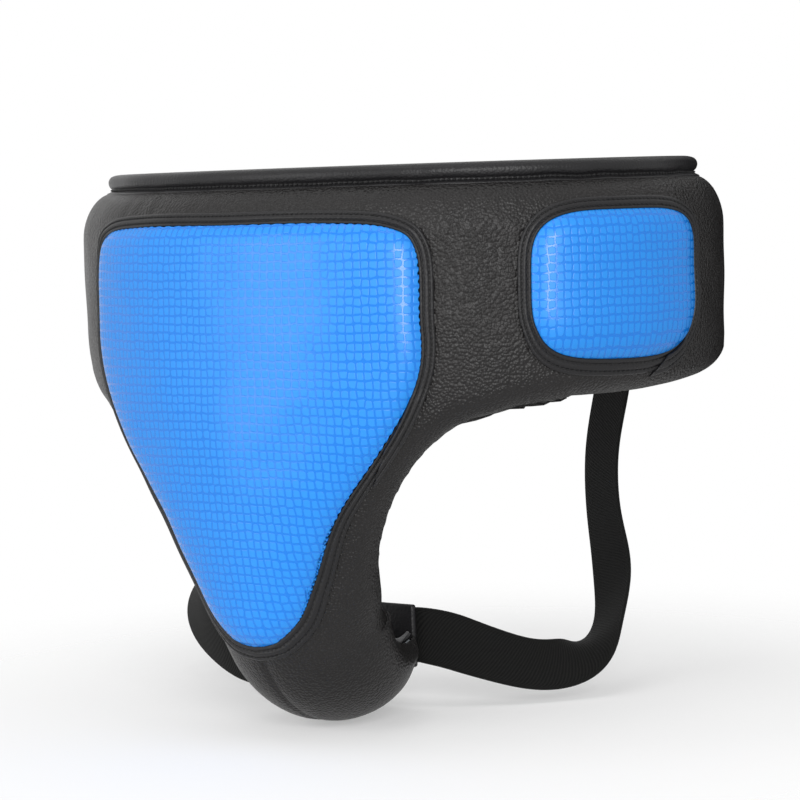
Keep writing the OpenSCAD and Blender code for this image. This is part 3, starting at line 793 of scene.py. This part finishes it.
def top_binding():
    def place(a, b):
        t = mix(-WING + 0.2, WING - 0.2, a)
        p = round_section(BINDING, b)
        roll = 1 + 0.06 * wobble(t, 0.11, 3.0)
        h = p[:, 0] + 0.45 * wobble(t, 0.16, 9.0) * (p[:, 0] > 3)
        lap = 0.45 * ease(t, 35.5, 36.1)
        d = np.where(p[:, 1] > 2, 2 + (p[:, 1] - 2) * roll + lap, p[:, 1])
        return at(t, h, d)

    obj = tube("top_binding_roll", 460, 46, place, [TAPE], 0.9, 0.04)
    settle(obj, "padded_belt", ["top_binding"])
    t = np.linspace(-WING + 1, WING - 1, 900)
    line = surface_line(t, 6.8 + 0.45 * wobble(t, 0.16, 9.0), 7.0 + 0.45 * ease(t, 35.5, 36.1))
    sewn = stitches("top_binding_stitches", [line], 2.7, 2.1, 0.42)
    settle(sewn, "padded_belt")


# ---- raised pads ----

FRONT_HALF = [
    (0, 26.5), (18, 26.5), (30, 29.5), (34.5, 41), (35, 75), (35.2, 104), (33, 138),
    (30.5, 168), (31, 198), (27, 217), (14, 228.5), (0, 231),
]
HIP_DROP, HIP_HALF_WIDTH, HIP_HALF_HEIGHT = 58.0, 51.0, 34.0
LEFT_PAD_ANGLE, RIGHT_PAD_ANGLE = 72.0, -90.0


def front_outline(k):
    turn = k - np.floor(k)
    half = np.where(turn > 0.5, 2 * (1 - turn), 2 * turn)
    p = through(FRONT_HALF, half * (len(FRONT_HALF) - 1))
    return np.stack([np.where(turn > 0.5, -p[..., 0], p[..., 0]), p[..., 1]], -1)


def hip_outline(middle):
    def outline(k):
        a = 2 * math.pi * np.asarray(k, float)
        s, c = np.sin(a), np.cos(a)
        wide = np.sign(s) * np.sqrt(np.abs(s)) * HIP_HALF_WIDTH / HALF_WIDTH
        t = middle + np.degrees(wide)
        return np.stack([t, HIP_DROP - np.sign(c) * np.sqrt(np.abs(c)) * HIP_HALF_HEIGHT], -1)
    return outline


def pushed(outline, k, off):
    """The outline moved outwards by off millimetres."""
    p, a, b = outline(k), outline(k - 0.01), outline(k + 0.01)
    scale = hoop_width(p[..., 0], p[..., 1]) * math.pi / 180
    run = unit(np.stack([(b[..., 0] - a[..., 0]) * scale, b[..., 1] - a[..., 1]], -1))
    return np.stack([p[..., 0] + off * run[..., 1] / scale, p[..., 1] - off * run[..., 0]], -1)


def square_to_ring(x, y):
    """A point of a square as its ring, 0 to 1, and its place round that ring, 0 to 1."""
    r = np.maximum(np.abs(x), np.abs(y))
    safe = np.where(r < 1e-9, 1.0, r)
    u, v = x / safe, y / safe
    top = (u / 8) % 1.0
    right = (2 + v) / 8
    bottom = (4 - u) / 8
    left = (6 - v) / 8
    k = np.where(v <= -1 + 1e-9, top, np.where(u >= 1 - 1e-9, right, np.where(v >= 1 - 1e-9, bottom, left)))
    return r, k


def pad_lift(e):
    """Height of the pad's face over the belt, from the distance to its outline."""
    shoulder = 1 - np.exp(-np.clip(e, 0, 80) / 4.6)
    return 0.4 + 5.0 * shoulder + 1.1 * ease(e, 4, 60)


def pad(name, outline, middle, count, nodes):
    middle = np.array(middle, float)
    ring = pushed(outline, np.linspace(0, 1, 400, endpoint=False), -0.2)
    rim = tree_of(skin(ring[:, 0], ring[:, 1]))

    def spot(a, b):
        r, k = square_to_ring(2 * a - 1, 1 - 2 * b)
        share = np.sin(r * 1.42) / math.sin(1.42)
        return middle + (pushed(outline, k, -0.2) - middle) * share[:, None]

    def place(a, b):
        p = spot(a, b)
        e = distance(rim, skin(p[:, 0], p[:, 1]))
        return at(p[:, 0], p[:, 1], whole(p[:, 0], p[:, 1]) + pad_lift(e))

    def cloth(a, b):
        p = spot(a, b)
        wide = (hoop_width(p[:, 0], p[:, 1]) + PADDING) * np.radians(p[:, 0])
        return wide * MM, -p[:, 1] * MM

    bm = bent_grid(count, count, place, cloth)
    bmesh.ops.recalc_face_normals(bm, faces=bm.faces)
    obj = made(name, bm, [BLUE])
    thicken(obj, 0.001)
    return settle(obj, "padded_belt", nodes)


# Section of a pad's tape as distance out and height: two sewn valleys, and rounded edges
TAPE_SECTION = [
    (6.6, 0.25), (6.7, 1.1), (6.1, 1.75), (5.4, 1.75), (4.9, 1.3), (4.4, 1.75), (3.4, 2.15),
    (2.6, 1.8), (2.1, 1.3), (1.6, 1.75), (0.9, 2.1), (0.25, 1.6), (0.15, 0.25),
]


def tape(name, outline, start, lap, node):
    """A tape sewn round a pad, with its end laid over its beginning."""
    def lay(k, off, rise):
        over = ease(k, 1 - 0.3 * lap, 1 + 0.1 * lap)
        under = 1 - ease(k, 0.6 * lap, 1.4 * lap)
        drift = 1.5 * ease(k, 1 - 0.3 * lap, 1 + lap)
        p = pushed(outline, start + k, 0.0)
        q = pushed(outline, start + k, 1.0)
        reach = (off + drift)[:, None]
        place = p + (q - p) * reach
        base = whole(place[:, 0], place[:, 1])
        return place, base + 0.1 + rise * (1 - 0.35 * under) + 1.25 * over

    def place(a, b):
        s = round_section(TAPE_SECTION, b)
        spot, d = lay(a * (1 + lap) + 0.004 * s[:, 0] * ease(a, 0.9, 1), s[:, 0], s[:, 1])
        return at(spot[:, 0], spot[:, 1], d)

    obj = tube(name, 420, 28, place, [TAPE], 0.7, 0.02)
    settle(obj, "padded_belt", [node])
    lines = []
    for off in (2.4, 5.0):
        k = np.linspace(0.004, 1 + lap * 0.9, 900)
        spot, d = lay(k, np.full_like(k, off), np.full_like(k, 1.45))
        lines.append(surface_line(spot[:, 0], spot[:, 1], d + 0.1))
    sewn = stitches(name + "_stitches", lines, 2.65, 2.0, 0.34)
    settle(sewn, "padded_belt")


def pads():
    pad("front_pad_cushion", front_outline, (0, 125), 150, ["front_pad_cover", "front_pad_foam"])
    tape("front_pad_binding", front_outline, 0.235, 0.03, "front_pad_tape")
    for angle, word, start in ((LEFT_PAD_ANGLE, "left", 0.385), (RIGHT_PAD_ANGLE, "right", 0.615)):
        outline = hip_outline(angle)
        nodes = [f"{word}_hip_pad_cover", f"{word}_hip_pad_foam"]
        pad(f"{word}_hip_pad_cushion", outline, (angle, HIP_DROP), 100, nodes)
        tape(f"{word}_hip_pad_binding", outline, start, 0.06, f"{word}_hip_pad_tape")


# ---- leg elastics ----

LIP = at(0.0, PANEL, PADDING - END_THINNING)
TAB_HALF, TAB_HEIGHT, TAB_SKIN = 15.0, 34.0, 4.0
LEG_WIDTH, LEG_SKIN, LEG_ANGLE = 30.0, 2.0, 155.0
TAB_BACK = LIP[1] + 0.3 + TAB_SKIN
STRAP_RUN = TAB_BACK + 0.3 + LEG_SKIN / 2
STRAP_END = LIP[2] - 1 + TAB_HEIGHT / 2
STRAP_SAG = LEG_WIDTH ** 2 / 6 / HALF_DEPTH


def strap_root(side, h):
    return at(side * LEG_ANGLE, h, -0.3 - STRAP_SAG - LEG_SKIN / 2)


def strap_way(side):
    a = skin(np.float64(side * LEG_ANGLE + side), np.float64(50))
    b = skin(np.float64(side * LEG_ANGLE - side), np.float64(50))
    return unit(a - b)


# Route of each leg elastic, with the direction of its width at each point
LEFT_ROUTE = [
    ((65, 106, -128), None), ((59, 103, -162), (-0.93, 0.36, 0)),
    ((62, 98, -195), (-0.93, 0.36, 0.05)), ((72, 90, -225), (-0.92, 0.3, 0.2)),
    ((78, 77, -250), (-0.8, 0.6, 0.1)), ((79, 60, -264), (-0.6, 0.75, 0.3)),
    ((74, 42, -270), (-0.4, 0.5, 0.75)), ((62, 25, -270), (-0.35, 0.45, 0.85)),
    ((44, 8, -262), (-0.25, 0.35, 0.9)), ((29, -6, -254), (-0.1, 0.15, 1)),
    ((TAB_HALF + 3, STRAP_RUN + 0.7, STRAP_END), (0, 0, 1)),
    ((TAB_HALF - 3, STRAP_RUN, STRAP_END), (0, 0, 1)), ((1, STRAP_RUN, STRAP_END), (0, 0, 1)),
]
RIGHT_ROUTE = [
    ((-70, 107, -126), None), ((-94, 97, -160), (0.93, 0.36, 0.1)),
    ((-126, 78, -190), (0.9, 0.3, 0.3)), ((-157, 44, -216), (0.8, 0.1, 0.5)),
    ((-163, 12, -235), (0.7, -0.2, 0.65)), ((-146, -10, -252), (0.5, -0.3, 0.8)),
    ((-118, -22, -264), (0.2, -0.2, 0.95)), ((-90, -26, -270), (0, 0, 1)),
    ((-58, -24, -266), (0, 0, 1)), ((-34, -18, -256), (0, 0, 1)),
    ((-TAB_HALF - 3, STRAP_RUN - 0.3, STRAP_END), (0, 0, 1)),
    ((-TAB_HALF + 3, STRAP_RUN, STRAP_END), (0, 0, 1)), ((-1, STRAP_RUN, STRAP_END), (0, 0, 1)),
]


def evened(line, ways, reach=34, passes=3):
    """Evens out a route and its turning, and leaves its sewn ends where they are."""
    gaps = np.concatenate([[0], np.cumsum(np.linalg.norm(np.diff(line, axis=0), axis=1))])
    even = np.linspace(0, gaps[-1], len(line))
    line = np.stack([np.interp(even, gaps, line[:, c]) for c in range(3)], -1)
    ways = np.stack([np.interp(even, gaps, ways[:, c]) for c in range(3)], -1)
    ends = np.minimum(even, even[-1] - even)
    share = ease(ends, 26, 70)[:, None]
    window = np.ones(reach) / reach
    for _ in range(passes):
        for path in (line, ways):
            padded = np.pad(path, ((reach, reach), (0, 0)), mode="edge")
            mean = np.stack([np.convolve(padded[:, c], window, "same") for c in range(3)], -1)
            path += share * (mean[reach:-reach] - path)
    return line, ways


def leg_elastic(side, word, route):
    roots = [(strap_root(side, h), strap_way(side)) for h in (BELT - 26, BELT)]
    stops = roots + [(np.array(p, float), strap_way(side) if w is None else np.array(w, float))
                     for p, w in route]
    places = np.array([p for p, _ in stops])
    ways = np.array([w for _, w in stops])
    last = len(stops) - 1
    half, thick = LEG_WIDTH / 2, LEG_SKIN / 2
    section = [
        (-half, 0), (-half + 0.5, thick * 0.8), (-half + 2.5, thick), (0, thick),
        (half - 2.5, thick), (half - 0.5, thick * 0.8), (half, 0), (half - 0.5, -thick * 0.8),
        (half - 2.5, -thick), (0, -thick), (-half + 2.5, -thick), (-half + 0.5, -thick * 0.8),
    ]

    fine = np.linspace(0, last, 600)
    line, turns = evened(through(places, fine), through(ways, fine))
    total = float(np.sum(np.linalg.norm(np.diff(line, axis=0), axis=1)))
    knots = np.linspace(0, 1, len(line))

    def follow(path, a):
        return np.stack([np.interp(a, knots, path[:, c]) for c in range(3)], -1)

    def place(a, b):
        here = follow(line, a)
        run = unit(follow(line, np.minimum(1, a + 0.004)) - follow(line, np.maximum(0, a - 0.004)))
        way = follow(turns, a)
        across = unit(way - run * np.sum(way * run, -1, keepdims=True))
        lift = np.cross(run, across)
        s = round_section(section, b)
        return here + across * s[:, :1] + lift * s[:, 1:]

    bm = bent_grid(190, 48, place, lambda a, b: (a * total * MM, np.abs(b - 0.5) * 2 * LEG_WIDTH * MM))
    close_up(bm)
    obj = made(f"{word}_leg_elastic", bm, [WEBBING])
    return settle(obj, "padded_belt", [f"{word}_leg_strap"])


def crotch_tab():
    """A folded leather tab that holds both elastics to the end of the panel."""
    bm = bmesh.new()
    size = Matrix.Diagonal((2 * TAB_HALF * MM, TAB_SKIN * MM, TAB_HEIGHT * MM, 1))
    spot = Matrix.Translation(Vector((0, TAB_BACK - TAB_SKIN / 2, STRAP_END)) * MM)
    bmesh.ops.create_cube(bm, size=1.0, matrix=spot @ size)
    bmesh.ops.bevel(
        bm, geom=bm.edges[:], offset=0.0015, segments=4, profile=0.5, affect="EDGES", material=-1
    )
    obj = made("crotch_tab_fold", bm, [TAPE])
    return settle(obj, "padded_belt", ["crotch_tab"])


def strap_patch(side, word):
    """A leather patch over the sewn end of a leg elastic, on the inside of the belt."""
    top = -LEG_SKIN - STRAP_SAG - 0.6

    def place(a, b):
        x, y = 2 * a - 1, 2 * b - 1
        corner = 1 - 0.03 * (x * x) * (y * y)
        t = side * (LEG_ANGLE + 6.6 * x * corner)
        h = BELT - 18.5 + 12.5 * y * corner
        edge = np.maximum(np.abs(x), np.abs(y))
        return at(t, h, top - 1.4 + 0.8 * ease(edge, 0.8, 1.0))

    bm = bent_grid(24, 20, place, lambda a, b: (a * 0.036, b * 0.025))
    bmesh.ops.recalc_face_normals(bm, faces=bm.faces)
    obj = made(f"{word}_strap_patch_leather", bm, [TAPE])
    thicken(obj, 0.0008, 0.0)
    settle(obj, "padded_belt", [f"{word}_strap_patch"])


# ---- back closure ----

BAND_TOP, BAND_FOOT = HIP_DROP - 39.0, HIP_DROP + 39.0
BAND_START, BAND_END, PULL_END = 150.0, 200.0, 236.0
BAND_FLOOR = PADDING + 0.3
HOOK_FLOOR = BAND_FLOOR + 1.3
PULL_FLOOR = HOOK_FLOOR + 1.3


def flat_strip(name, first, last, low, high, floor_at, depth, material, corner=0.0, cols=60):
    """A flat piece on the back of the belt, with its edges eased and its last end rounded."""
    def place(a, b):
        section = b * 4 % 4
        side = np.floor(section)
        f = section - side
        y = np.where(side == 0, mix(-1, 1, f), np.where(side == 1, 1.0, np.where(side == 2, mix(1, -1, f), -1.0)))
        z = np.where(side == 0, 0.0, np.where(side == 1, f, np.where(side == 2, 1.0, 1 - f)))
        t = mix(first, last, a)
        away = np.abs(last - t) * 2.6
        trim = corner * (1 - rounded(away, max(corner, 0.01))) if corner else 0.0 * t
        half = (high - low) / 2 - trim
        h = (low + high) / 2 + half * y
        soft = 0.25 * depth * (np.abs(y) > 0.999) * np.where(z > 0.5, -1, 1)
        return at(t, h, floor_at(t) + depth * z + soft)

    bm = bent_grid(cols, 64, place, lambda a, b: (a * (last - first) * 2.6 * MM, b * 4 * (high - low) * MM))
    close_up(bm)
    return made(name, bm, [material])


def band_height_at(t):
    return mix(BAND_FLOOR, PULL_FLOOR, ease(t, BAND_END - 16, BAND_END - 3))


def spot_on(t, h, d):
    return tuple(float(v) for v in at(float(t), float(h), float(d)) * MM)


def back_closure():
    anchor = flat_strip(
        "band_anchor_leather", BAND_START - 20, BAND_START - 0.6, BAND_TOP - 4, BAND_FOOT + 4,
        lambda t: BAND_FLOOR + 0 * t, 2.2, TAPE
    )
    settle(anchor, "padded_belt", ["band_anchor"])
    band = flat_strip(
        "back_elastic_band", BAND_START, BAND_END, BAND_TOP, BAND_FOOT, band_height_at, 2.2,
        BACK_WEBBING, cols=110
    )
    spot_on(BAND_START, 58, 23)
    spot_on(BAND_START + 9, 58, 23)
    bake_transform(band)
    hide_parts("back_band")
    pull = flat_strip(
        "pull_tab_leather", BAND_END + 0.4, PULL_END, BAND_TOP + 5, BAND_FOOT - 5,
        lambda t: PULL_FLOOR + 0 * t, 2.0, TAPE, corner=14.0, cols=90
    )
    spot_on(BAND_END, 58, 25)
    spot_on(BAND_END + 5, 58, 25)
    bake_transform(pull)
    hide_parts("pull_tab")
    hook = flat_strip(
        "hook_patch_tape", BAND_END + 4, PULL_END - 3, BAND_TOP + 8, BAND_FOOT - 8,
        lambda t: HOOK_FLOOR + 0 * t, 1.0, HOOKS, corner=10.0
    )
    settle(hook, "tab", ["hook_patch"])
    loop = flat_strip(
        "loop_panel_tape", BAND_END + 1, PULL_END + 10, BAND_TOP + 2, BAND_FOOT - 2,
        lambda t: BAND_FLOOR + 0 * t, 1.0, LOOPS, corner=8.0
    )
    settle(loop, "padded_belt", ["loop_panel"])


# ---- hidden and small parts that keep their CAD shape ----


def dress(name, material):
    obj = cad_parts[name]
    obj.data.materials.clear()
    obj.data.materials.append(material)


def dress_nodes():
    for name in ("front_foam", "inner_foam", "left_wing_foam", "right_wing_foam"):
        dress(name, FOAM)
    dress("groin_cup", CUP)
    for name in ("strap_bartacks", "band_anchor_stitches", "pull_tab_stitches"):
        dress(name, THREAD)


bpy.context.scene.view_settings.view_transform = "Standard"
camera()
surroundings()
flag()
floor()
softbox("key_softbox", -19, 0.25, 2.0, (1.1, 1.7), 15.5)
softbox("side_softbox", 42, 0.4, 2.4, (0.9, 1.5), 40)
softbox("top_softbox", 0, 2.2, 0.6, (1.6, 1.2), 8)

belt_cover()
lining()
top_binding()
pads()
leg_elastic(1, "left", LEFT_ROUTE)
leg_elastic(-1, "right", RIGHT_ROUTE)
crotch_tab()
strap_patch(1, "left")
strap_patch(-1, "right")
back_closure()
dress_nodes()
